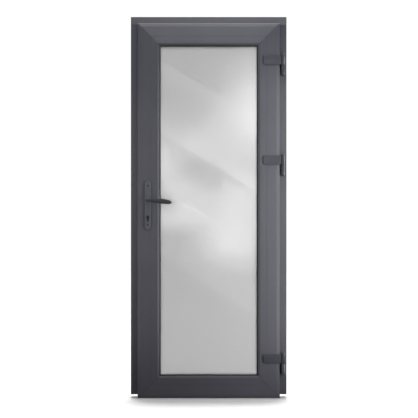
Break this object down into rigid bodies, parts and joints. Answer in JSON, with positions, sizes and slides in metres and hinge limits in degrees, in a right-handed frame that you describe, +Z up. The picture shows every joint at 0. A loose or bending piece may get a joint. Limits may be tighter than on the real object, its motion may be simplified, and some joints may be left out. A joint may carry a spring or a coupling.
{
  "type": "glazed entrance door",
  "caption": "Plastic-profile entrance door in its frame, with a tall satin glass pane, flag hinges on the right, a lever handle and a key-driven bolt lock.",
  "frame": {"origin": "middle of the threshold's underside, midway through the frame's depth", "axes": "+X to the right seen from inside, -Y towards the inside, where the leaf opens, +Z up"},
  "size_m": [0.86, 0.186, 2.105],
  "materials": {
    "profile": "anthracite satin foil on uPVC extrusion",
    "steel": "galvanised",
    "screws": "zinc plated",
    "threshold": "mill finish, anodised",
    "black_plastic": "moulded",
    "seal": "extruded EPDM",
    "hinge_paint": "anthracite powder coat",
    "handle_paint": "anthracite powder coat",
    "glass": "satin etched",
    "spacer": "mill finish",
    "packer": "moulded",
    "lock_metal": "zinc plated",
    "cylinder": "black nickel"
  },
  "bodies": {
    "frame": {"frame_head": "profile", "frame_jamb_lock": "profile", "frame_jamb_hinge": "profile", "frame_steels": "steel", "head_end_caps": "profile", "corner_screws": "screws", "threshold": "threshold", "threshold_blocks": "black_plastic", "threshold_screws": "screws", "frame_seal": "seal", "keep_centre": "steel", "bolt_keeps": "steel", "keep_screws": "screws", "hinge_frame_leaf_top": "hinge_paint", "hinge_frame_leaf_middle": "hinge_paint", "hinge_frame_leaf_bottom": "hinge_paint", "hinge_pins": "steel", "hinge_frame_screws": "screws"},
    "leaf": {"leaf_rail_top": "profile", "leaf_rail_bottom": "profile", "leaf_stile_lock": "profile", "leaf_stile_hinge": "profile", "leaf_steels": "steel", "bead_top": "profile", "bead_bottom": "profile", "bead_lock": "profile", "bead_hinge": "profile", "glass_inner": "glass", "glass_outer": "glass", "glass_spacer": "spacer", "glazing_seal_inner": "seal", "glazing_seal_outer": "seal", "glass_packers": "packer", "leaf_seal": "seal", "bottom_seal": "seal", "hinge_leaf_top": "hinge_paint", "hinge_leaf_middle": "hinge_paint", "hinge_leaf_bottom": "hinge_paint", "hinge_bushes": "black_plastic", "hinge_leaf_screws": "screws", "hinge_covers": "hinge_paint", "lock_faceplate": "lock_metal", "faceplate_screws": "screws", "lock_case": "steel", "bolt_cases": "steel", "handle_plate_inside": "handle_paint", "handle_plate_outside": "handle_paint", "handle_screws": "screws", "cylinder_body": "cylinder", "cylinder_screw": "screws"},
    "lever": {"lever_inside": "handle_paint", "lever_outside": "handle_paint", "spindle": "lock_metal", "follower": "lock_metal"},
    "latch": {"latch_bolt": "lock_metal"},
    "key": {"key_plug": "cylinder"},
    "deadbolt": {"deadbolt": "lock_metal"},
    "top_bolt": {"bolt_top": "lock_metal"},
    "bottom_bolt": {"bolt_bottom": "lock_metal"},
    "drive_rods": {"drive_rods": "lock_metal"}
  },
  "joints": [
    {"name": "leaf_swing", "type": "hinge", "parent": "frame", "child": "leaf", "pos_m": [0.413, -0.062, 0], "axis": [0, 0, 1], "range_deg": [0, 110]},
    {"name": "lever_turn", "type": "hinge", "parent": "leaf", "child": "lever", "pos_m": [-0.335, -0.058, 1.091], "axis": [0, 1, 0], "range_deg": [0, 40], "stiffness_Nm_per_rad": 2, "springref_deg": -20.05},
    {"name": "latch_slide", "type": "slide", "parent": "leaf", "child": "latch", "axis": [-1, 0, 0], "range_m": [0, 0.014]},
    {"name": "key_turn", "type": "hinge", "parent": "leaf", "child": "key", "pos_m": [-0.335, -0.058, 0.999], "axis": [0, -1, 0], "range_deg": [0, 360]},
    {"name": "deadbolt_throw", "type": "slide", "parent": "leaf", "child": "deadbolt", "axis": [-1, 0, 0], "range_m": [0, 0.02]},
    {"name": "top_bolt_throw", "type": "slide", "parent": "leaf", "child": "top_bolt", "axis": [-1, 0, 0], "range_m": [0, 0.0201]},
    {"name": "bottom_bolt_throw", "type": "slide", "parent": "leaf", "child": "bottom_bolt", "axis": [-1, 0, 0], "range_m": [0, 0.0201]},
    {"name": "rods_slide", "type": "slide", "parent": "leaf", "child": "drive_rods", "axis": [0, 0, 1], "range_m": [0, 0.0201]}
  ],
  "couplings": [
    {"joint": "key_turn", "follows": "deadbolt_throw", "rad_per_m": 314},
    {"joint": "top_bolt_throw", "follows": "deadbolt_throw", "ratio": 1},
    {"joint": "bottom_bolt_throw", "follows": "deadbolt_throw", "ratio": 1},
    {"joint": "rods_slide", "follows": "deadbolt_throw", "ratio": 1}
  ]
}
